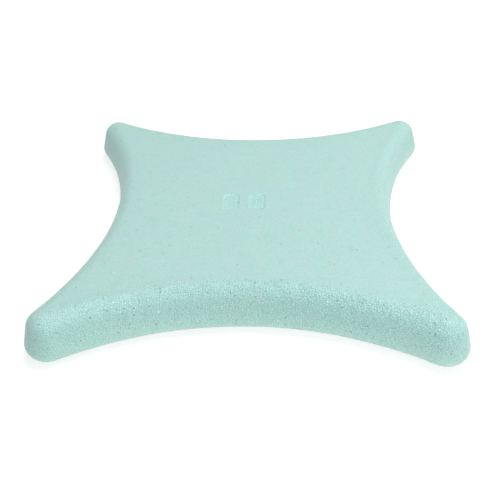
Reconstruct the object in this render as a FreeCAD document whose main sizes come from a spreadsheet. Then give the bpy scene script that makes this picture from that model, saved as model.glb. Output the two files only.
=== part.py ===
"""Face cradle cushion: a square moulded-foam pad with four waisted sides.

Frame: +Z up, X and Y along the two widths, origin on the underside at the middle of the pad.
Lengths are millimetres and angles are degrees.

A dense moulded skin wraps a soft foam core and turns in under it as a flat lip. A thin
woven liner closes the opening inside that lip, and three strips of loop tape on the liner
hold the pad to the cradle's hook tape. Lip, liner and strips end flush on Z = 0.
"""

import FreeCAD
import Part
import Sketcher
import math
import os

# ---------------------------------------------------------------- driving dimensions

SIZES = {
    # the pad's outer form
    "cushion_width": 350.0,  # across the corner tips, along X and along Y
    "cushion_thickness": 41.0,  # underside to top face
    "waist_depth": 42.6,  # how far the middle of each side lies inside the corner tips
    "corner_radius": 19.2,  # plan radius of a corner where the pad is widest
    "wall_draft": 15.0,  # lean of the walls, inwards going up
    "top_edge_radius": 14.5,  # rolled edge round the top face
    "base_edge_radius": 12.0,  # rolled edge round the underside
    # skin and core
    "skin_thickness": 2.0,  # dense skin over the top and the walls
    "core_gap": 0.3,  # between the core and the skin's inner face
    "lip_width": 12.0,  # flat lip under the core, from the rolled edge to the opening
    "opening_corner_radius": 10.0,  # plan radius of the opening's corners
    # mould mark on the top face: two plain shallow recesses side by side
    "recess_width": 15.0,  # along X
    "recess_length": 25.0,  # along Y
    "recess_corner_radius": 4.0,
    "recess_depth": 0.8,
    "recess_pitch": 24.0,  # from the middle of one to the middle of the other
    "mark_offset": 7.0,  # the mark's middle lies this far to -X of the pad's middle
    # underside
    "liner_thickness": 1.0,
    "liner_gap": 0.4,  # between the liner's edge and the lip
    "strip_thickness": 1.4,
    "strip_width": 38.0,
    "strip_corner_radius": 3.0,
    "side_strip_length": 130.0,
    "strip_margin": 10.0,  # strip's outer edge to the opening's edge at the waist
    "strip_spacing": 8.0,  # between the crown strip's ends and the side strips
}

# ---------------------------------------------------------------- derived lengths, as formulas

LIP_THICKNESS = "(Sizes.liner_thickness + Sizes.strip_thickness)"
CAVITY_HEIGHT = f"(Sizes.cushion_thickness - Sizes.skin_thickness - {LIP_THICKNESS})"
CORE_DEPTH = "(Sizes.skin_thickness + Sizes.core_gap)"
# the widest outline: corner centres, then the side arcs' radius and their centres' distance
CORNER_REACH = "(Sizes.cushion_width / 2 - Sizes.corner_radius)"
SIDE_RADIUS = (
    f"(((Sizes.waist_depth - Sizes.corner_radius)^2 + {CORNER_REACH}^2"
    " - Sizes.corner_radius^2) / (2 * Sizes.waist_depth))"
)
WAIST_REACH = "(Sizes.cushion_width / 2 - Sizes.waist_depth)"
SIDE_REACH = f"({WAIST_REACH} + {SIDE_RADIUS})"
# the drafted wall, carried down to Z = 0 past the rolled edge, stands this far outside the pad
FOOT_FLARE = (
    "Sizes.base_edge_radius * ((1 + sin(Sizes.wall_draft)) / cos(Sizes.wall_draft) - 1)"
)
OPENING_INSET = "(Sizes.base_edge_radius + Sizes.lip_width)"
# outer and inner edges of the strips, inside the narrowest part of the opening
STRIP_OUTER = f"({WAIST_REACH} - {OPENING_INSET} - Sizes.strip_margin)"
STRIP_INNER = f"({STRIP_OUTER} - Sizes.strip_width)"


def wall_inset(height, depth):
    """Plan inset, from the widest outline, of the wall's face lying depth under the surface."""
    return (
        f"({height} * tan(Sizes.wall_draft) + {depth} / cos(Sizes.wall_draft) - {FOOT_FLARE})"
    )


# ---------------------------------------------------------------- document and sheet

doc = FreeCAD.newDocument("face_cradle_cushion")
sheet = doc.addObject("Spreadsheet::Sheet", "Sizes")
for row, (alias, value) in enumerate(SIZES.items(), start=1):
    sheet.set(f"A{row}", alias)
    sheet.set(f"B{row}", str(value))
    sheet.setAlias(f"B{row}", alias)
doc.recompute()

# ---------------------------------------------------------------- sketch and body helpers

# how a constraint names the sketch's origin, its axes and the points of an edge
X_AXIS, Y_AXIS = range(-1, -3, -1)
ORIGIN = X_AXIS
START, END, CENTRE = range(1, 4)
CORNERS = ((1, -1), (1, 1), (-1, 1), (-1, -1))
SIDES = ((1, 0), (0, 1), (-1, 0), (0, -1))
LEVEL_TOLERANCE = 1e-4


def new_body(label):
    body = doc.addObject("PartDesign::Body", label)
    body.Label = label
    return body


def value_of(formula):
    """The formula's present value as a plain number."""
    result = sheet.evalExpression(formula.replace("Sizes.", ""))
    return float(getattr(result, "Value", result))


def flat_sketch(body, name, height):
    """Empty sketch on the body's XY plane, lifted to a height given as a formula."""
    sketch = body.newObject("Sketcher::SketchObject", name)
    plane = next(f for f in body.Origin.OriginFeatures if f.Role == "XY_Plane")
    sketch.AttachmentSupport = [(plane, "")]
    sketch.MapMode = "FlatFace"
    sketch.setExpression("AttachmentOffset.Base.z", height)
    return sketch


def bind(sketch, kind, *args):
    """Dimensional constraint whose value is the formula given last."""
    formula = args[-1]
    index = sketch.addConstraint(Sketcher.Constraint(kind, *args[:-1], value_of(formula)))
    sketch.setExpression(f"Constraints[{index}]", formula)


def add_arc(sketch, centre, radius, first, last):
    """Arc counterclockwise between two directions in degrees."""
    circle = Part.Circle(FreeCAD.Vector(*centre, 0), FreeCAD.Vector(0, 0, 1), radius)
    return sketch.addGeometry(
        Part.ArcOfCircle(circle, math.radians(first), math.radians(last))
    )


def waisted_outline(body, name, height, inset, corner=None):
    """Closed outline of eight tangent arcs: four corners and four sides that pull in.

    The side arcs are the widest outline's, moved inwards by the inset; the corner arcs
    follow them unless they are given a radius of their own.
    """
    corner = corner or f"(Sizes.corner_radius - {inset})"
    side = f"({SIDE_RADIUS} + {inset})"
    side_centre, side_radius, corner_radius = (value_of(f) for f in (SIDE_REACH, side, corner))
    # a corner centre lies on the diagonal, both radii away from two side centres
    span = side_radius + corner_radius
    corner_centre = (side_centre - math.sqrt(2 * span**2 - side_centre**2)) / 2
    tilt = math.degrees(math.atan2(corner_centre, side_centre - corner_centre))

    sketch = flat_sketch(body, name, height)
    corners, sides = [], []
    for quarter, ((corner_x, corner_y), (side_x, side_y)) in enumerate(zip(CORNERS, SIDES)):
        turn = 90 * quarter
        middle = (corner_x * corner_centre, corner_y * corner_centre)
        corners.append(add_arc(sketch, middle, corner_radius, turn - 90 - tilt, turn + tilt))
        middle = (side_x * side_centre, side_y * side_centre)
        sides.append(add_arc(sketch, middle, side_radius, turn + 180 - tilt, turn + 180 + tilt))
    for quarter in range(4):
        side_arc, following = sides[quarter], corners[(quarter + 1) % 4]
        join = Sketcher.Constraint("Tangent", corners[quarter], END, side_arc, END)
        sketch.addConstraint(join)
        join = Sketcher.Constraint("Tangent", side_arc, START, following, START)
        sketch.addConstraint(join)
    for quarter, (side_x, side_y) in enumerate(SIDES):
        axis, along = (X_AXIS, "DistanceX") if side_x else (Y_AXIS, "DistanceY")
        on_axis = Sketcher.Constraint("PointOnObject", sides[quarter], CENTRE, axis)
        sketch.addConstraint(on_axis)
        ends = [(ORIGIN, START), (sides[quarter], CENTRE)]
        if side_x + side_y < 0:
            ends.reverse()
        bind(sketch, along, *ends[0], *ends[1], SIDE_REACH)
        bind(sketch, "Radius", sides[quarter], side)
        bind(sketch, "Radius", corners[quarter], corner)
    return sketch


def pad(body, name, sketch, length, drafted=False):
    """Pad of a length given as a formula; a drafted one narrows upwards like the walls."""
    feature = body.newObject("PartDesign::Pad", name)
    feature.Profile = sketch
    feature.setExpression("Length", length)
    if drafted:
        feature.setExpression("TaperAngle", "-Sizes.wall_draft")
    return feature


def pocket(body, name, sketch, depth, upwards=False):
    """Pocket of a depth given as a formula, checked to take material away."""
    doc.recompute()
    before = body.Tip.Shape.Volume
    feature = body.newObject("PartDesign::Pocket", name)
    feature.Profile = sketch
    feature.Reversed = upwards
    feature.setExpression("Length", depth)
    doc.recompute()
    if feature.Shape.Volume >= before:
        raise RuntimeError(f"{name} cuts nothing")
    return feature


def round_rim(body, name, height, radius):
    """Fillet the rim that lies in the plane at a height; both are formulas."""
    doc.recompute()
    base = body.Tip
    level = value_of(height)
    rim = [
        f"Edge{number}"
        for number, edge in enumerate(base.Shape.Edges, start=1)
        if max(abs(edge.BoundBox.ZMin - level), abs(edge.BoundBox.ZMax - level)) < LEVEL_TOLERANCE
    ]
    fillet = body.newObject("PartDesign::Fillet", name)
    fillet.Base = (base, rim)
    fillet.setExpression("Radius", radius)
    doc.recompute()
    return fillet


def hold_point(sketch, geometry, point, x, y):
    """Hold a point at distances from the sketch's origin, given as formulas of either sign."""
    for kind, axis, formula in (("DistanceX", Y_AXIS, x), ("DistanceY", X_AXIS, y)):
        distance = value_of(formula)
        if distance > 0:
            bind(sketch, kind, ORIGIN, START, geometry, point, formula)
        elif distance < 0:
            bind(sketch, kind, geometry, point, ORIGIN, START, f"-({formula})")
        else:
            sketch.addConstraint(Sketcher.Constraint("PointOnObject", geometry, point, axis))


def add_rounded_box(sketch, x, y, size_x, size_y, radius):
    """Rounded rectangle with its middle at x, y; all five values are formulas."""
    arcs = []
    for quarter, (side_x, side_y) in enumerate(CORNERS):
        corner_x = f"({x} + ({side_x}) * ({size_x} / 2 - {radius}))"
        corner_y = f"({y} + ({side_y}) * ({size_y} / 2 - {radius}))"
        middle = (value_of(corner_x), value_of(corner_y))
        arc = add_arc(sketch, middle, value_of(radius), 90 * (quarter - 1), 90 * quarter)
        arcs.append((arc, corner_x, corner_y))
    for (arc, _, _), (following, _, _) in zip(arcs, arcs[1:] + arcs[:1]):
        first, last = sketch.getPoint(arc, END), sketch.getPoint(following, START)
        line = sketch.addGeometry(Part.LineSegment(first, last))
        sketch.addConstraint(Sketcher.Constraint("Tangent", arc, END, line, START))
        sketch.addConstraint(Sketcher.Constraint("Tangent", line, END, following, START))
    for arc, corner_x, corner_y in arcs:
        hold_point(sketch, arc, CENTRE, corner_x, corner_y)
        bind(sketch, "Radius", arc, radius)


def rounded_form(body, foot, rise, depth):
    """The pad's form lying depth inside its surface, from a foot height up by a rise."""
    label = body.Label
    outline = waisted_outline(body, f"{label}_foot", foot, wall_inset(foot, depth))
    pad(body, f"{label}_form", outline, rise, drafted=True)
    round_rim(body, f"{label}_top_edge", f"{foot} + {rise}", f"Sizes.top_edge_radius - {depth}")
    round_rim(body, f"{label}_base_edge", foot, f"Sizes.base_edge_radius - {depth}")


# ---------------------------------------------------------------- sub-parts


def moulded_skin():
    """Dense skin: outer form, hollowed for the core, open inside a flat lip below."""
    cavity = new_body("skin_cavity")
    rounded_form(cavity, LIP_THICKNESS, CAVITY_HEIGHT, "Sizes.skin_thickness")

    body = new_body("moulded_skin")
    rounded_form(body, "0", "Sizes.cushion_thickness", "0")
    hollow = body.newObject("PartDesign::Boolean", "hollow")
    hollow.Type = "Cut"
    hollow.setObjects([cavity])

    opening = waisted_outline(
        body, "opening_outline", "0", OPENING_INSET, "Sizes.opening_corner_radius"
    )
    pocket(body, "underside_opening", opening, LIP_THICKNESS, upwards=True)

    mark = flat_sketch(body, "mould_mark", "Sizes.cushion_thickness")
    for half_pitch in ("-Sizes.recess_pitch / 2", "Sizes.recess_pitch / 2"):
        add_rounded_box(
            mark,
            f"({half_pitch} - Sizes.mark_offset)",
            "0",
            "Sizes.recess_width",
            "Sizes.recess_length",
            "Sizes.recess_corner_radius",
        )
    pocket(body, "mould_mark_recesses", mark, "Sizes.recess_depth")
    return body


def foam_core():
    """Soft core: the cavity's form, a small gap smaller, standing flat on the lip and liner."""
    body = new_body("foam_core")
    rounded_form(body, LIP_THICKNESS, f"({CAVITY_HEIGHT} - Sizes.core_gap)", CORE_DEPTH)
    return body


def base_liner():
    """Woven liner that fills the opening, over the strips and under the core."""
    body = new_body("base_liner")
    outline = waisted_outline(
        body,
        "liner_outline",
        "Sizes.strip_thickness",
        f"({OPENING_INSET} + Sizes.liner_gap)",
        "(Sizes.opening_corner_radius - Sizes.liner_gap)",
    )
    pad(body, "liner_sheet", outline, "Sizes.liner_thickness")
    return body


def loop_strip(label, x, y, size_x, size_y):
    """Cut length of loop tape with rounded corners, bonded to the liner's underside."""
    body = new_body(label)
    outline = flat_sketch(body, f"{label}_outline", "0")
    add_rounded_box(outline, x, y, size_x, size_y, "Sizes.strip_corner_radius")
    pad(body, f"{label}_tape", outline, "Sizes.strip_thickness")
    return body


def loop_strips():
    """Two strips along the sides and one across the crown, in the cradle plate's U."""
    width, side_length = "Sizes.strip_width", "Sizes.side_strip_length"
    strip_centre = f"({STRIP_OUTER} - {width} / 2)"
    crown_length = f"(2 * ({STRIP_INNER} - Sizes.strip_spacing))"
    return [
        loop_strip("left_loop_strip", f"-{strip_centre}", "0", width, side_length),
        loop_strip("right_loop_strip", strip_centre, "0", width, side_length),
        loop_strip("crown_loop_strip", "0", strip_centre, crown_length, width),
    ]


# ---------------------------------------------------------------- build, check and write

bodies = [moulded_skin(), foam_core(), base_liner(), *loop_strips()]
doc.recompute()

for item in doc.Objects:
    if "Invalid" in item.State or "Error" in item.State:
        raise RuntimeError(f"{item.Name} failed: {item.State}")
for body in bodies:
    if body.Shape.isNull() or not body.Shape.isValid() or len(body.Shape.Solids) != 1:
        raise RuntimeError(f"{body.Label} is not one valid solid")

os.makedirs("parts", exist_ok=True)
for body in bodies:
    body.Shape.exportStep(f"parts/{body.Label}.step")
    box = body.Shape.optimalBoundingBox()
    print(
        f"{body.Label}: {box.XLength:.2f} x {box.YLength:.2f} x {box.ZLength:.2f} mm,"
        f" {body.Shape.Volume / 1000:.1f} cm3"
    )
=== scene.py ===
"""Looks of the face cradle cushion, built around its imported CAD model. Metres, +Z up."""

import math

import bmesh
import bpy
from mathutils import Matrix, Vector, noise
from mathutils.geometry import delaunay_2d_cdt


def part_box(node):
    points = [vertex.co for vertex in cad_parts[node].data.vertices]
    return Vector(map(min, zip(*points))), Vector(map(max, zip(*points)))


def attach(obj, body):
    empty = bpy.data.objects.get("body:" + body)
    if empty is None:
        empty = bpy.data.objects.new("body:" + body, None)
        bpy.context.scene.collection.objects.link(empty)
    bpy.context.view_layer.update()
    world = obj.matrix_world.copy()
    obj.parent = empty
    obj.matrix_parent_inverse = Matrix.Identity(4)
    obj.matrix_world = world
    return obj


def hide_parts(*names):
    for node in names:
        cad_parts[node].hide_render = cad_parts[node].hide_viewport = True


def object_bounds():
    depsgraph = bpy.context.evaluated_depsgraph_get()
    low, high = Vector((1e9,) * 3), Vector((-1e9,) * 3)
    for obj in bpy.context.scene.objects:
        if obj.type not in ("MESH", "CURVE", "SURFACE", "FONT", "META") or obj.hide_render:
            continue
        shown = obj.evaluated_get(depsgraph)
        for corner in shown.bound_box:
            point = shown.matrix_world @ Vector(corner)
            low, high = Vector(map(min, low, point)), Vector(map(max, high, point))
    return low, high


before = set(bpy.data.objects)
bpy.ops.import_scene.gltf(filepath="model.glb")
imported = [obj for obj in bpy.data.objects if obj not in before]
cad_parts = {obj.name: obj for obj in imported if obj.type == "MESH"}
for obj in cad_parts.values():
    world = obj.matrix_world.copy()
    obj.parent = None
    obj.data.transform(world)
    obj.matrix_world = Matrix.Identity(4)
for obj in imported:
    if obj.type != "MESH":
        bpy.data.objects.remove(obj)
cad_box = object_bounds()

# ---------------------------------------------------------------- sizes shared with the CAD part

SKIN_LOW, SKIN_HIGH = (Vector(corner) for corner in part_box("moulded_skin"))
HALF = (SKIN_HIGH.x - SKIN_LOW.x) / 2
TOP = SKIN_HIGH.z
WAIST_DEPTH = 0.0426
CORNER_RADIUS = 0.0192
DRAFT = math.radians(15)
TOP_ROLL = 0.0145
BASE_ROLL = 0.012
SKIN = 0.002
CORE_GAP = 0.0003
STRIP_THICKNESS = 0.0014
STRIP_CORNER = 0.003
LIP = 0.0024
LIP_WIDTH = 0.012
OPENING_INSET = BASE_ROLL + LIP_WIDTH
OPENING_CORNER = 0.010
LINER_GAP = 0.0004

# the widest outline: radius of the side arcs and how far out their centres lie
CORNER_REACH = HALF - CORNER_RADIUS
SIDE_RADIUS = ((WAIST_DEPTH - CORNER_RADIUS) ** 2 + CORNER_REACH**2 - CORNER_RADIUS**2) / (
    2 * WAIST_DEPTH
)
SIDE_REACH = HALF - WAIST_DEPTH + SIDE_RADIUS

# mould mark on the top face: two plain shallow recesses
RECESS_HALF = Vector((0.0075, 0.0125))
RECESS_CORNER = 0.004
RECESS_DEPTH = 0.0008
RECESS_PITCH = 0.024
RECESS_WALL = (-0.0004, 0.0007)  # where its wall starts and ends, inward from its outline
MARK_X = -0.007

# ---------------------------------------------------------------- relief and grain of the skin

# height and span of its unevenness
SWELL, SWELL_SPAN = 0.00025, 0.055
RIPPLE, RIPPLE_SPAN = 0.00010, 0.014
GRIT = 0.00011
FLAT_SWELL = 0.6  # share of the swell on the top face
FOOT, FOOT_SHARE = 0.0012, 0.5  # below this height the skin only sinks in, and less

GRAIN_CELL = 0.0019  # the skin's bubbles
LUMP_CELL = 0.0034  # the coarser lumps they sit on
LUMP_RADIUS = 0.7  # in cells

# how the bubble grain fades: from, to, and the share of it left
GRAIN_TO_CROWN = (-0.05, 0.11, 0.62)  # along y
GRAIN_TO_LEFT = (-0.02, -0.16, 0.64)  # along x
GRAIN_TO_SIDES = (-0.015, 0.025, 0.58)  # past the diagonals, onto the left and right walls
GRAIN_TO_TOP = (-0.003, 0.014, 0.12)  # inward from the rim
GRAIN_TO_LIP = (math.radians(60), math.radians(90), 0.4)  # round the base edge, by slope
RAGGED, RAGGED_SPAN = 0.005, 0.011  # how unevenly it ends at the rim
MARK_GRAIN = 0.65

LINER_WAVE, LINER_WAVE_SPAN = 0.00016, 0.02
TUFT, TUFT_SPAN = 0.00028, 0.0013  # unevenness of the strips' pile
PILE_RISE, PILE_EDGE = 0.0004, 0.0016  # how much the pile thins, and over how wide an edge

# ---------------------------------------------------------------- mesh density

CORNER_STEPS, SIDE_STEPS = 32, 260  # points along a corner and along a side of the outline
INNER_SHARE = 4  # the hidden inner faces have a quarter of the outer ring's points
SKIN_ROWS = (18, 13, 18)  # rows on the rolled rim, the wall and the base edge
CAVITY_ROWS = (5, 2, 5)
CORE_ROWS = (6, 3, 6)
LIP_ROWS = 4
RIM_BAND = (0.001, 0.005)  # finer part of the top face, inward from the rim
RECESS_BAND = 0.0016  # finest part, either side of a recess's outline
MARK_AREA = (0.052, 0.036)
RIM_PITCH, TOP_PITCH, RECESS_EDGE_PITCH, RECESS_FLOOR_PITCH = 0.0015, 0.0027, 0.00045, 0.0009
PILE_PITCH = 0.0011
PILE_LEVELS = (0.00045, 0.0009)

# points inside the plainer faces: their pitch, and how far in they start
CEILING_POINTS = (0.012, 0.024)
CORE_POINTS = (0.01, 0.022)
LINER_POINTS = (0.004, 0.003)
PILE_POINTS = (PILE_PITCH, 0.0008)
BACKING_POINTS = (0.008, 0.003)

SKIN_MERGE, CORE_MERGE = 0.00014, 0.0002  # points nearer than this become one
SHARP_ANGLE = math.radians(50)
CDT_INSIDE, CDT_TOLERANCE = 1, 1e-7  # a cap keeps only the faces inside its ring

# ---------------------------------------------------------------- light and camera

WORLD_STRENGTH = 0.30  # of the white world as a light
FLOOR_SHOWN = 0.42  # the floor's grey as the camera sees it
FLOOR_HIDDEN = 0.97  # its grey to the light that it throws back
FLOOR_GLOW = 0.72  # the glow that makes it white near the cushion
FLOOR_SIZE, FLOOR_GAP = 60, 0.0001  # it lies just under the cushion
FLOOR_FADE = (0.35, 1.5)  # distances between which the glow rises to full white

# name, place, aim, size, power
LAMPS = (
    ("overhead", (0.30, 0.12, 1.45), (0, 0, 0), 0.8, 11.2),
    ("front_fill", (0.32, -0.82, 0.38), (0, -0.20, 0), 0.8, 2.65),
    ("left_side", (-1.05, -0.10, 0.60), (0, 0, 0), 1.0, 0.6),
    ("right_side", (1.10, 0.30, 0.45), (0, 0, 0), 1.0, 1.8),
)

AZIMUTH, ELEVATION, ROLL = (math.radians(angle) for angle in (3.736, 37.384, -2.048))
DISTANCE, SHIFT_RIGHT, SHIFT_UP = 0.69741, -0.00259, -0.01264
LENS, SENSOR = 51.94, 36


def smoothstep(low, high, value):
    part = min(max((value - low) / (high - low), 0.0), 1.0)
    return part * part * (3 - 2 * part)


def fade(value, low, high, left):
    """1 where value is at low, easing to what is left at high."""
    return 1 - (1 - left) * smoothstep(low, high, value)


# ---------------------------------------------------------------- outlines and profiles


def outline(inset, corner=None, corner_steps=CORNER_STEPS, side_steps=SIDE_STEPS):
    """Points and their outward directions on the waisted outline, inset from the widest."""
    side = SIDE_RADIUS + inset
    corner = CORNER_RADIUS - inset if corner is None else corner
    span = side + corner
    middle = (SIDE_REACH - math.sqrt(2 * span**2 - SIDE_REACH**2)) / 2
    tilt = math.atan2(middle, SIDE_REACH - middle)
    points = []
    for quarter in range(4):
        turn = Matrix.Rotation(math.radians(90 * quarter), 2)
        for step in range(corner_steps):
            angle = -math.pi / 2 - tilt + (math.pi / 2 + 2 * tilt) * step / corner_steps
            away = Vector((math.cos(angle), math.sin(angle)))
            points.append((turn @ (Vector((middle, -middle)) + corner * away), turn @ away))
        for step in range(side_steps):
            angle = math.pi + tilt - 2 * tilt * step / side_steps
            away = Vector((math.cos(angle), math.sin(angle)))
            points.append((turn @ (Vector((SIDE_REACH, 0)) + side * away), turn @ -away))
    return points


def depth_inside(x, y):
    """How far a point lies inside the widest outline."""
    sides = (
        math.hypot(x - sx * SIDE_REACH, y - sy * SIDE_REACH)
        for sx, sy in ((1, 0), (-1, 0), (0, 1), (0, -1))
    )
    depth = min(sides) - SIDE_RADIUS
    past_x, past_y = abs(x) - CORNER_REACH, abs(y) - CORNER_REACH
    if past_x > 0 or past_y > 0:
        depth = min(depth, CORNER_RADIUS - math.hypot(past_x, past_y))
    return depth


def arc(roll, centre_inset, centre_height, start, end, steps):
    """Rows (inset, height, slope) of a rolled edge between two slopes."""
    rows = []
    for step in range(steps + 1):
        slope = start + (end - start) * step / steps
        inset = centre_inset - roll * math.cos(slope)
        rows.append((inset, centre_height + roll * math.sin(slope), slope))
    return rows


def profile(depth, foot, head, roll_steps, wall_steps, base_steps):
    """Rows (inset, height, slope) of the pad's side from the top face down to its foot.

    depth is how far the form lies inside the pad's surface; slope is the surface normal's
    angle above level.
    """
    top_roll, base_roll = TOP_ROLL - depth, BASE_ROLL - depth
    wall_run = (head - top_roll + top_roll * math.sin(DRAFT)) - BASE_ROLL * (1 + math.sin(DRAFT))
    top_centre = (
        BASE_ROLL
        - base_roll * math.cos(DRAFT)
        + top_roll * math.cos(DRAFT)
        + (wall_run + depth * math.sin(DRAFT)) * math.tan(DRAFT)
    )
    upper = arc(top_roll, top_centre, head - top_roll, math.pi / 2, DRAFT, roll_steps)
    lower = arc(base_roll, BASE_ROLL, foot + base_roll, DRAFT, -math.pi / 2, base_steps)
    start, end = upper[-1], lower[0]
    wall = []
    for step in range(1, wall_steps):
        part = step / wall_steps
        inset, height = (start[k] + (end[k] - start[k]) * part for k in (0, 1))
        wall.append((inset, height, DRAFT))
    return upper + wall + lower


# ---------------------------------------------------------------- relief of the moulded skin


def inside_recess(x, y):
    """How far a point lies inside the nearer recess's outline, negative outside."""
    across = abs(abs(x - MARK_X) - RECESS_PITCH / 2) - RECESS_HALF.x + RECESS_CORNER
    along = abs(y) - RECESS_HALF.y + RECESS_CORNER
    corner = math.hypot(max(across, 0.0), max(along, 0.0))
    return RECESS_CORNER - corner - min(max(across, along), 0.0)


def lumps(place):
    """Rounded lumps, 0 in the hollows to 1 on the crowns."""
    gap = noise.voronoi(place / LUMP_CELL)[0][0]
    return max(0.0, 1 - (gap / LUMP_RADIUS) ** 2)


def grain_at(x, y, slope):
    """Strength of the bubble grain: full on the front wall and rim, faint on the flats."""
    side = fade(y, *GRAIN_TO_CROWN) * fade(x, *GRAIN_TO_LEFT)
    side *= fade(abs(x) - abs(y), *GRAIN_TO_SIDES)
    if slope < 0:
        return side * fade(-slope, *GRAIN_TO_LIP)
    ragged = RAGGED * noise.noise(Vector((x, y, 0.0)) / RAGGED_SPAN)
    return side * fade(depth_inside(x, y) - TOP_ROLL + ragged, *GRAIN_TO_TOP)


def relief(x, y, z, grain):
    """Height of the skin's swell and of its grit over its even form."""
    place = Vector((x, y, z))
    swell = SWELL * noise.noise(place / SWELL_SPAN) + RIPPLE * noise.noise(place / RIPPLE_SPAN)
    return swell, GRIT * grain * (lumps(place) - 0.5)


# ---------------------------------------------------------------- mesh helpers


class Shell:
    """Vertices, each with its grain and mark values, and faces, built ring by ring."""

    def __init__(self):
        self.points, self.faces, self.grain, self.mark = [], [], [], []

    def add(self, point, grain=0.0, mark=0.0):
        self.points.append(point)
        self.grain.append(grain)
        self.mark.append(mark)
        return len(self.points) - 1

    def ring(self, points, height):
        """Level ring over outline points."""
        return [self.add((*point, height)) for point, _ in points]

    def bridge(self, first, second):
        """Faces between two rings; the second may have a whole fraction of the points."""
        share, count = len(first) // len(second), len(second)
        for k in range(count):
            after = (k + 1) % count
            fan = [first[(k * share + step) % len(first)] for step in range(share + 1)]
            if share == 1:
                self.faces.append((fan[0], fan[1], second[after], second[k]))
                continue
            middle = share // 2
            for step in range(share):
                tip = second[k] if step < middle else second[after]
                self.faces.append((fan[step], fan[step + 1], tip))
            self.faces.append((fan[middle], second[after], second[k]))

    def bridge_all(self, rings):
        for first, second in zip(rings, rings[1:]):
            self.bridge(first, second)

    def cap(self, ring, inner, place):
        """Close a ring over inner points; place(x, y) gives what add needs for each."""
        flat = [Vector(self.points[k][:2]) for k in ring] + [Vector(p) for p in inner]
        edges = [(k, (k + 1) % len(ring)) for k in range(len(ring))]
        verts, _, faces, origins, _, _ = delaunay_2d_cdt(
            flat, edges, [], CDT_INSIDE, CDT_TOLERANCE
        )
        index = []
        for vert, origin in zip(verts, origins):
            kept = [k for k in origin if k < len(ring)]
            index.append(ring[kept[0]] if kept else self.add(*place(vert.x, vert.y)))
        self.faces += [tuple(index[k] for k in face) for face in faces]

    def cap_level(self, ring, inner, height):
        self.cap(ring, inner, lambda x, y: ((x, y, height),))

    def piece(self, name, material, merge=0.0):
        mesh = bpy.data.meshes.new(name)
        mesh.from_pydata(self.points, [], self.faces)
        for label, values in (("grain", self.grain), ("mark", self.mark)):
            mesh.attributes.new(label, "FLOAT", "POINT").data.foreach_set("value", values)
        work = bmesh.new()
        work.from_mesh(mesh)
        if merge:
            bmesh.ops.remove_doubles(work, verts=work.verts, dist=merge)
        loose = [v for v in work.verts if not v.link_faces]
        bmesh.ops.delete(work, geom=loose, context="VERTS")
        bmesh.ops.recalc_face_normals(work, faces=work.faces)
        work.to_mesh(mesh)
        work.free()
        mesh.shade_smooth()
        mesh.set_sharp_from_angle(angle=SHARP_ANGLE)
        mesh.materials.append(material)
        piece = bpy.data.objects.new(name, mesh)
        bpy.context.scene.collection.objects.link(piece)
        return piece


def hex_points(width, height, pitch, keep, centre=(0.0, 0.0)):
    """Staggered grid of points over a box, where keep(x, y) says so."""
    rise = pitch * math.sqrt(0.75)
    rows, columns = int(height / 2 / rise), int(width / 2 / pitch)
    points = []
    for row in range(-rows, rows + 1):
        shift = pitch / 2 if row % 2 else 0.0
        for column in range(-columns - 1, columns + 1):
            x, y = centre[0] + column * pitch + shift, centre[1] + row * rise
            if keep(x, y):
                points.append((x, y))
    return points


def pad_points(pitch, keep):
    """Staggered grid over the whole pad."""
    return hex_points(2 * HALF, 2 * HALF, pitch, keep)


def inner_points(pitch, start):
    """Staggered grid over what lies deeper inside the pad than start."""
    return pad_points(pitch, lambda x, y: depth_inside(x, y) > start)


# ---------------------------------------------------------------- material helpers


def linear(red, green, blue):
    """Scene-linear colour of an sRGB colour given in 0 to 255."""
    parts = (value / 255 for value in (red, green, blue))
    return (
        *(p / 12.92 if p <= 0.04045 else ((p + 0.055) / 1.055) ** 2.4 for p in parts),
        1.0,
    )


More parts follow.
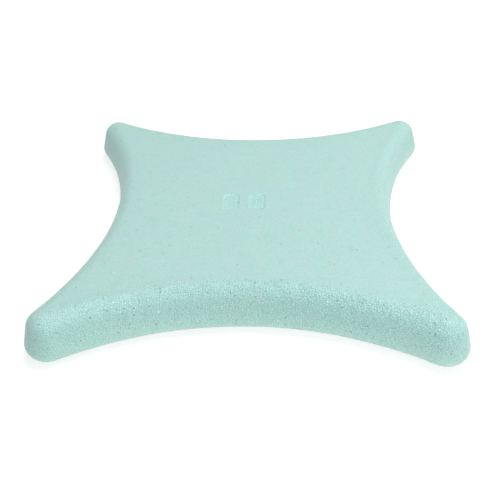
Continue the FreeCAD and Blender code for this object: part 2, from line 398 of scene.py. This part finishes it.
class Nodes:
    """Short way to wire a material's node tree; place is the position in the frame."""

    def __init__(self, name):
        self.material = bpy.data.materials.new(name)
        self.material.use_nodes = True
        self.tree = self.material.node_tree
        self.shader = self.tree.nodes["Principled BSDF"]
        self.place = self.node("ShaderNodeTexCoord").outputs["Object"]

    def node(self, kind, inputs=None, **settings):
        node = self.tree.nodes.new(kind)
        for key, value in settings.items():
            setattr(node, key, value)
        for key, value in (inputs or {}).items():
            self.put(value, node.inputs[key])
        return node

    def put(self, value, socket):
        if isinstance(value, bpy.types.NodeSocket):
            self.tree.links.new(value, socket)
        else:
            socket.default_value = value

    def math(self, operation, *values):
        node = self.node("ShaderNodeMath", operation=operation)
        for socket, value in zip(node.inputs, values):
            self.put(value, socket)
        return node.outputs[0]

    def times(self, *values):
        """Product of the values."""
        product = values[0]
        for value in values[1:]:
            product = self.math("MULTIPLY", product, value)
        return product

    def line(self, value, rate, start):
        """start + rate * value."""
        return self.math("MULTIPLY_ADD", value, rate, start)

    def ramp(self, value, low, high, start=0.0, end=1.0):
        """Smooth step of a value between low and high, from start to end."""
        node = self.node(
            "ShaderNodeMapRange",
            {"From Min": low, "From Max": high, "To Min": start, "To Max": end, "Value": value},
            interpolation_type="SMOOTHSTEP",
        )
        return node.outputs[0]

    def tint(self, colour, other, *shares):
        """Colour with another laid over it, by the product of the shares."""
        node = self.node("ShaderNodeMix", data_type="RGBA")
        for key, value in ((0, self.times(*shares)), (6, colour), (7, other)):
            self.put(value, node.inputs[key])
        return node.outputs[2]

    def noise(self, scale, detail=2.0, roughness=0.5):
        return self.node(
            "ShaderNodeTexNoise",
            {"Vector": self.place, "Scale": scale, "Detail": detail, "Roughness": roughness},
        ).outputs["Fac"]

    def cells(self, place, cell, feature="F1", randomness=1.0):
        return self.node(
            "ShaderNodeTexVoronoi",
            {"Vector": place, "Scale": 1 / cell, "Randomness": randomness},
            feature=feature,
        )

    def spots(self, place, cell, share, radius):
        """1 inside small round spots, one in each of a share of the cells.

        Their radii run from 0.7 to 1.3 of the one given.
        """
        cells = self.cells(place, cell)
        pick = self.node("ShaderNodeSeparateColor", {"Color": cells.outputs["Color"]})
        chosen = self.math("LESS_THAN", pick.outputs[0], share)
        size = self.line(pick.outputs[1], 0.6 * radius / cell, 0.7 * radius / cell)
        return self.times(
            chosen, self.ramp(cells.outputs["Distance"], size, self.times(size, 0.45))
        )

    def attribute(self, label):
        return self.node("ShaderNodeAttribute", attribute_name=label).outputs["Fac"]

    def component(self, vector, axis):
        return self.node("ShaderNodeSeparateXYZ", {"Vector": vector}).outputs[axis]

    def finish(self, colour, height, strength, distance, plain):
        """Wire up colour and bump, set the plain sockets, and give the material."""
        bump = self.node(
            "ShaderNodeBump", {"Strength": strength, "Distance": distance, "Height": height}
        )
        sockets = {"Base Color": colour, "Normal": bump.outputs[0], **plain}
        for label, value in sockets.items():
            self.put(value, self.shader.inputs[label])
        return self.material


# ---------------------------------------------------------------- materials


def mottled_mint(n, grain, mark, rim, facing_up):
    """Colour of the skin without its bubbles: soft blotches, paler at the foot and rim as painted
    light, and darker side walls as painted shade.
    """
    broad = n.ramp(n.noise(30, 3), 0.36, 0.64)
    colour = n.tint(linear(188, 225, 221), linear(186, 227, 218), broad)
    blotch = n.ramp(n.noise(120), 0.52, 0.72)
    colour = n.tint(colour, linear(172, 222, 215), blotch, 0.75)
    pale = n.ramp(n.noise(75, 3), 0.52, 0.70)
    colour = n.tint(colour, linear(198, 223, 218), pale, 0.60)
    speckle = n.ramp(n.noise(420), 0.40, 0.62)
    colour = n.tint(colour, linear(170, 215, 208), speckle, 0.38)
    colour = n.tint(colour, linear(188, 241, 232), mark, 0.70)
    # painted light: paler towards the foot, standing in for light thrown up from the floor
    foot = n.ramp(n.component(n.place, 2), 0.023, 0.003, 0.0, 0.85)
    colour = n.tint(colour, linear(210, 247, 236), foot)
    # painted shade: a darker mint on the walls away from the front, where the grain is faint
    painted_side_shade = n.times(n.ramp(facing_up, 0.95, 0.45), n.ramp(grain, 0.95, 0.45))
    colour = n.tint(colour, linear(172, 216, 207), painted_side_shade, 0.55)
    # painted highlight: a paler band along the rolled rim
    return n.tint(colour, linear(200, 237, 234), rim, 0.62)


def skin_material():
    """Mint moulded foam: bubble grain, pinholes, small glints and faint mottling; the glints are
    painted highlights, and the grain and pinholes carry painted shade.
    """
    n = Nodes("mint_moulded_foam")
    grain, mark = n.attribute("grain"), n.attribute("mark")
    facing_up = n.component(n.node("ShaderNodeNewGeometry").outputs["Normal"], 2)
    # rim is where the painted highlight goes: the rolled edge, strongest at the front
    rim = n.times(n.ramp(facing_up, 0.45, 0.90), n.ramp(grain, 0.20, 0.95))
    colour = mottled_mint(n, grain, mark, rim, facing_up)

    # bubbles: painted shade in the joins between them, painted highlights on their pale crowns
    # that glitter along the rim
    cells = n.cells(n.place, GRAIN_CELL, randomness=0.8)
    dome = n.ramp(cells.outputs["Distance"], 0.66, 0.08)
    walls = n.cells(n.place, GRAIN_CELL, "DISTANCE_TO_EDGE", randomness=0.8)
    painted_seam_shade = n.ramp(walls.outputs["Distance"], 0.17, 0.02)
    colour = n.tint(colour, linear(116, 192, 182), painted_seam_shade, grain, n.line(rim, 0.20, 0.50))
    # painted highlight: paler crowns on the bubbles
    crown = n.times(n.ramp(dome, 0.62, 0.98), grain)
    colour = n.tint(colour, linear(205, 247, 240), crown, 0.70)
    # painted highlight: near-white sparkle on the crowns along the rim
    painted_sparkle = n.times(n.ramp(n.noise(300, 1), 0.45, 0.62), rim)
    colour = n.tint(colour, linear(224, 254, 250), crown, painted_sparkle)

    # pinholes with painted shade inside and glints painted as highlights, their round outlines
    # bent a little
    wobble = n.node("ShaderNodeTexNoise", {"Vector": n.place, "Scale": 800.0, "Detail": 1.0})
    bent = n.node(
        "ShaderNodeVectorMath",
        {0: wobble.outputs["Color"], 1: (0.0009, 0.0009, 0.0009), 2: n.place},
        operation="MULTIPLY_ADD",
    ).outputs[0]
    pits = n.spots(bent, 0.0040, n.line(grain, 0.18, 0.09), radius=0.00085)
    # painted shade: the pinholes are darkened in the colour
    colour = n.tint(colour, linear(96, 164, 158), pits, n.line(grain, 0.26, 0.30))
    elsewhere = n.node("ShaderNodeVectorMath", {0: bent, 1: (0.31, 0.17, 0.23)}).outputs[0]
    glints = n.spots(elsewhere, 0.0056, n.times(grain, 0.11), radius=0.00100)
    # painted highlight: near-white glints
    colour = n.tint(colour, linear(222, 255, 251), glints, 0.95)

    fine = n.noise(900, 3, 0.6)
    rough = n.line(fine, 0.16, 0.47)
    for value, rate in ((grain, -0.24), (glints, -0.14), (crown, -0.07)):
        rough = n.line(value, rate, rough)
    height = n.times(dome, n.line(grain, 0.96, 0.04))
    height = n.line(pits, -0.7, n.line(fine, 0.08, height))
    plain = {
        "Roughness": rough,
        "Specular IOR Level": 0.50,
        "Sheen Weight": 0.12,
        "Sheen Roughness": 0.45,
    }
    return n.finish(colour, height, strength=0.9, distance=0.0006, plain=plain)


def core_material():
    """Pale open-cell foam, with painted shade in its pores."""
    n = Nodes("open_cell_foam")
    pore = n.ramp(n.cells(n.place, 0.0012).outputs["Distance"], 0.1, 0.55)
    # painted shade: darker in the pores, paler on the cell walls
    colour = n.tint(linear(188, 182, 158), linear(236, 231, 212), pore)
    return n.finish(colour, pore, strength=0.6, distance=0.0004, plain={"Roughness": 0.9})


def weave_height(n, pitch):
    """Plain weave: threads that pass over and under in turn."""
    rate = math.pi / pitch
    across, along = (
        n.math("SINE", n.times(n.component(n.place, axis), rate)) for axis in (0, 1)
    )
    pick = n.ramp(n.times(across, along), -0.1, 0.1)
    warp = n.times(n.math("ABSOLUTE", across), pick)
    weft = n.times(n.math("ABSOLUTE", along), n.math("SUBTRACT", 1.0, pick))
    return n.math("ADD", warp, weft)


def liner_material():
    """Grey-green plain-woven backing cloth, with painted shade between its threads."""
    n = Nodes("woven_backing")
    weave = weave_height(n, 0.0009)
    slub = n.ramp(n.noise(160, 3), 0.4, 0.75, 0.0, 0.35)
    # painted shade: darker where the weave is low, between the threads
    colour = n.tint(linear(138, 156, 151), linear(196, 208, 203), weave)
    colour = n.tint(colour, linear(214, 222, 218), slub)
    plain = {"Roughness": 0.86, "Sheen Weight": 0.3}
    return n.finish(colour, weave, strength=0.5, distance=0.0003, plain=plain)


def loop_material():
    """White loop tape with a brushed, matted pile, and painted shade in its hollows."""
    n = Nodes("loop_pile")
    loops = n.cells(n.place, 0.0011, "SMOOTH_F1")
    curl = n.noise(1400, 4, 0.7)
    pile = n.line(curl, 0.8, n.ramp(loops.outputs["Distance"], 0.7, 0.1))
    matted = n.ramp(n.noise(110, 3), 0.45, 0.75, 0.0, 0.3)
    # painted shade: darker where the pile is low
    colour = n.tint(linear(186, 192, 188), linear(240, 242, 238), n.ramp(pile, 0.2, 1.3))
    colour = n.tint(colour, linear(214, 220, 214), matted)
    plain = {"Roughness": 0.93, "Sheen Weight": 0.5}
    return n.finish(colour, pile, strength=0.8, distance=0.0005, plain=plain)


# ---------------------------------------------------------------- pieces


def side_ring(shell, inset, height, slope):
    """One ring of the skin's outer face, moved along its normal by the relief."""
    ring = []
    for point, away in outline(inset):
        grain = grain_at(point.x, point.y, slope)
        out = sum(relief(point.x, point.y, height, grain))
        if height < FOOT:
            out = min(out, 0.0) * FOOT_SHARE
        level, rise = math.cos(slope) * out, math.sin(slope) * out
        x, y = point.x + away.x * level, point.y + away.y * level
        ring.append(shell.add((x, y, max(height + rise, 0.0)), grain))
    return ring


def on_top(x, y):
    """Place, grain and mark of a point of the top face."""
    mark = smoothstep(*RECESS_WALL, inside_recess(x, y))
    grain = max(grain_at(x, y, math.pi / 2), MARK_GRAIN * mark)
    swell, grit = relief(x, y, TOP, grain)
    return (x, y, TOP + FLAT_SWELL * swell + grit - RECESS_DEPTH * mark), grain, mark


def top_points():
    """Inner points of the top face, closer together at the rim and round the recesses."""
    flat_from = profile(0.0, 0.0, TOP, 1, 1, 1)[0][0]

    def near_rim(x, y):
        return RIM_BAND[0] < depth_inside(x, y) - flat_from < RIM_BAND[1]

    def open_top(x, y):
        inside = depth_inside(x, y) - flat_from
        return inside >= RIM_BAND[1] and inside_recess(x, y) < -RECESS_BAND

    def recess_edge(x, y):
        return abs(inside_recess(x, y)) < RECESS_BAND

    def recess_floor(x, y):
        return inside_recess(x, y) >= RECESS_BAND

    points = pad_points(RIM_PITCH, near_rim) + pad_points(TOP_PITCH, open_top)
    for pitch, keep in ((RECESS_EDGE_PITCH, recess_edge), (RECESS_FLOOR_PITCH, recess_floor)):
        points += hex_points(*MARK_AREA, pitch, keep, (MARK_X, 0.0))
    return points


def moulded_skin(material):
    """Skin as a closed shell: outer face, lip under the core, and the cavity's faces."""
    shell = Shell()
    rings = [side_ring(shell, *row) for row in profile(0.0, 0.0, TOP, *SKIN_ROWS)]
    shell.bridge_all(rings)
    shell.cap(rings[0], top_points(), on_top)

    base, edge = outline(BASE_ROLL), outline(OPENING_INSET, OPENING_CORNER)
    lip = [rings[-1]]
    for step in range(1, LIP_ROWS + 1):
        ring = []
        for (outer, _), (inner, _) in zip(base, edge):
            point = outer.lerp(inner, step / LIP_ROWS)
            ring.append(shell.add((*point, 0.0), grain_at(*point, -math.pi / 2)))
        lip.append(ring)
    shell.bridge_all(lip)
    brim = shell.ring(edge, LIP)
    shell.bridge(lip[-1], brim)

    sparse = {"corner_steps": CORNER_STEPS // INNER_SHARE, "side_steps": SIDE_STEPS // INNER_SHARE}
    cavity = [brim]
    for inset, height, _ in reversed(profile(SKIN, LIP, TOP - SKIN, *CAVITY_ROWS)):
        cavity.append(shell.ring(outline(inset, **sparse), height))
    shell.bridge_all(cavity)
    shell.cap_level(cavity[-1], inner_points(*CEILING_POINTS), TOP - SKIN)
    return shell.piece("moulded_skin_body", material, merge=SKIN_MERGE)


def foam_core(material):
    """Core: the cavity's form, closed top and bottom."""
    shell = Shell()
    head = TOP - SKIN - CORE_GAP
    rings = []
    for inset, height, _ in profile(SKIN + CORE_GAP, LIP, head, *CORE_ROWS):
        rings.append(shell.ring(outline(inset, corner_steps=12, side_steps=60), height))
    shell.bridge_all(rings)
    inner = inner_points(*CORE_POINTS)
    shell.cap_level(rings[0], inner, head)
    shell.cap_level(rings[-1], inner, LIP)
    return shell.piece("foam_core_body", material, merge=CORE_MERGE)


def base_liner(material):
    """Woven liner, slightly wavy on its open face."""
    shell = Shell()
    inset, corner = OPENING_INSET + LINER_GAP, OPENING_CORNER - LINER_GAP
    rim = outline(inset, corner, corner_steps=12, side_steps=70)
    low, high = shell.ring(rim, STRIP_THICKNESS), shell.ring(rim, LIP)
    shell.bridge(low, high)
    pitch, start = LINER_POINTS
    inner = inner_points(pitch, inset + start)

    def wavy(x, y):
        rise = LINER_WAVE * noise.noise(Vector((x, y, 0.3)) / LINER_WAVE_SPAN)
        return ((x, y, STRIP_THICKNESS + rise),)

    shell.cap(low, inner, wavy)
    shell.cap_level(high, inner, LIP)
    return shell.piece("base_liner_cloth", material)


def loop_strip(node, material):
    """Loop tape: a flat backing with matted pile on its underside."""
    low, high = (Vector(corner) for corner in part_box(node))
    middle, half = (low + high) / 2, (high - low) / 2
    rim = []
    for quarter, (sx, sy) in enumerate(((1, -1), (1, 1), (-1, 1), (-1, -1))):
        for step in range(7):
            angle = math.radians(-90 + 90 * quarter + 15 * step)
            x = middle.x + sx * (half.x - STRIP_CORNER) + STRIP_CORNER * math.cos(angle)
            y = middle.y + sy * (half.y - STRIP_CORNER) + STRIP_CORNER * math.sin(angle)
            rim.append(Vector((x, y)))
    border = []
    for start, end in zip(rim, rim[1:] + rim[:1]):
        steps = max(1, round((end - start).length / PILE_PITCH))
        border += [start.lerp(end, step / steps) for step in range(steps)]
    shell = Shell()
    rings = [[shell.add((*point, level)) for point in border] for level in (*PILE_LEVELS, high.z)]
    shell.bridge_all(rings)

    def margin(x, y):
        """Distance in from the strip's nearest edge."""
        return min(half.x - abs(x - middle.x), half.y - abs(y - middle.y))

    def inner(pitch, inset):
        area = (2 * half.x, 2 * half.y)
        return hex_points(*area, pitch, lambda x, y: margin(x, y) > inset, middle)

    def pile(x, y):
        tuft = 0.5 + 0.5 * noise.noise(Vector((x, y, 0.7)) / TUFT_SPAN)
        thin = 1 - smoothstep(0.0, PILE_EDGE, margin(x, y))
        return ((x, y, max(PILE_RISE * thin + TUFT * tuft, 0.0)),)

    shell.cap(rings[0], inner(*PILE_POINTS), pile)
    shell.cap_level(rings[-1], inner(*BACKING_POINTS), high.z)
    return shell.piece(f"{node}_pile", material)


def dress(piece, node):
    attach(piece, "root")
    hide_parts(node)


# ---------------------------------------------------------------- stage, lights, camera


def shown_rays(tree):
    """1 for rays from the camera, off a glossy face or through a clear one, else 0."""
    rays = tree.nodes.new("ShaderNodeLightPath")
    shown = rays.outputs["Is Camera Ray"]
    for kind in ("Is Glossy Ray", "Is Transmission Ray"):
        either = tree.nodes.new("ShaderNodeMath")
        either.operation = "MAXIMUM"
        tree.links.new(shown, either.inputs[0])
        tree.links.new(rays.outputs[kind], either.inputs[1])
        shown = either.outputs[0]
    return shown


def floor():
    """Pale floor that reads white to the camera and in reflections, and keeps the shadow."""
    n = Nodes("studio_floor")
    shown = shown_rays(n.tree)
    hidden_grey, shown_grey = ((grey, grey, grey, 1) for grey in (FLOOR_HIDDEN, FLOOR_SHOWN))
    n.put(n.tint(hidden_grey, shown_grey, shown), n.shader.inputs["Base Color"])
    n.put(0.95, n.shader.inputs["Roughness"])
    n.put(0.0, n.shader.inputs["Specular IOR Level"])
    away = n.node("ShaderNodeVectorMath", {0: n.place}, operation="LENGTH").outputs["Value"]
    level = n.ramp(away, *FLOOR_FADE, FLOOR_GLOW, 1 - FLOOR_SHOWN * WORLD_STRENGTH)
    glow = n.node("ShaderNodeEmission", {"Strength": n.times(shown, level)})
    both = n.node("ShaderNodeAddShader", {0: n.shader.outputs[0], 1: glow.outputs[0]})
    n.put(both.outputs[0], n.tree.nodes["Material Output"].inputs["Surface"])
    height = cad_box[0][2] - FLOOR_GAP
    bpy.ops.mesh.primitive_plane_add(size=FLOOR_SIZE, location=(0, 0, height))
    plane = bpy.context.object
    plane.name = "studio_floor_plane"
    plane.data.materials.append(n.material)


def area_light(name, place, aim, size, power):
    light = bpy.data.lights.new(name, "AREA")
    light.shape = "DISK"
    light.size = size
    light.energy = power
    lamp = bpy.data.objects.new(name, light)
    lamp.location = place
    lamp.rotation_euler = (Vector(aim) - Vector(place)).to_track_quat("-Z", "Y").to_euler()
    bpy.context.scene.collection.objects.link(lamp)


def studio_light():
    """White world that lights softly but shows at full strength, and the lamps."""
    world = bpy.data.worlds.new("studio")
    world.use_nodes = True
    tree = world.node_tree
    back = tree.nodes["Background"]
    back.inputs["Color"].default_value = (1, 1, 1, 1)
    strength = tree.nodes.new("ShaderNodeMapRange")
    strength.inputs["To Min"].default_value = WORLD_STRENGTH
    strength.inputs["To Max"].default_value = 1.0
    tree.links.new(shown_rays(tree), strength.inputs["Value"])
    tree.links.new(strength.outputs[0], back.inputs["Strength"])
    bpy.context.scene.world = world
    for lamp in LAMPS:
        area_light(*lamp)


def camera():
    """Camera in front and above, turned a little to the right and slightly rolled."""
    level = math.cos(ELEVATION)
    back = Vector((math.sin(AZIMUTH) * level, -math.cos(AZIMUTH) * level, math.sin(ELEVATION)))
    right = Vector((math.cos(AZIMUTH), math.sin(AZIMUTH), 0))
    up = back.cross(right)
    right, up = (
        right * math.cos(ROLL) + up * math.sin(ROLL),
        up * math.cos(ROLL) - right * math.sin(ROLL),
    )
    data = bpy.data.cameras.new("camera")
    data.lens = LENS
    data.sensor_width = SENSOR
    data.clip_start = 0.05
    view = bpy.data.objects.new("camera", data)
    place = back * DISTANCE + right * SHIFT_RIGHT + up * SHIFT_UP
    turn = Matrix((right, up, back)).transposed().to_4x4()
    view.matrix_world = Matrix.Translation(place) @ turn
    bpy.context.scene.collection.objects.link(view)
    bpy.context.scene.camera = view


# ---------------------------------------------------------------- build

skin = moulded_skin(skin_material())
dress(skin, "moulded_skin")
core = foam_core(core_material())
dress(core, "foam_core")
liner = base_liner(liner_material())
dress(liner, "base_liner")
tape = loop_material()
for node in ("left_loop_strip", "right_loop_strip", "crown_loop_strip"):
    dress(loop_strip(node, tape), node)

floor()
studio_light()
camera()
bpy.context.scene.view_settings.view_transform = "Standard"
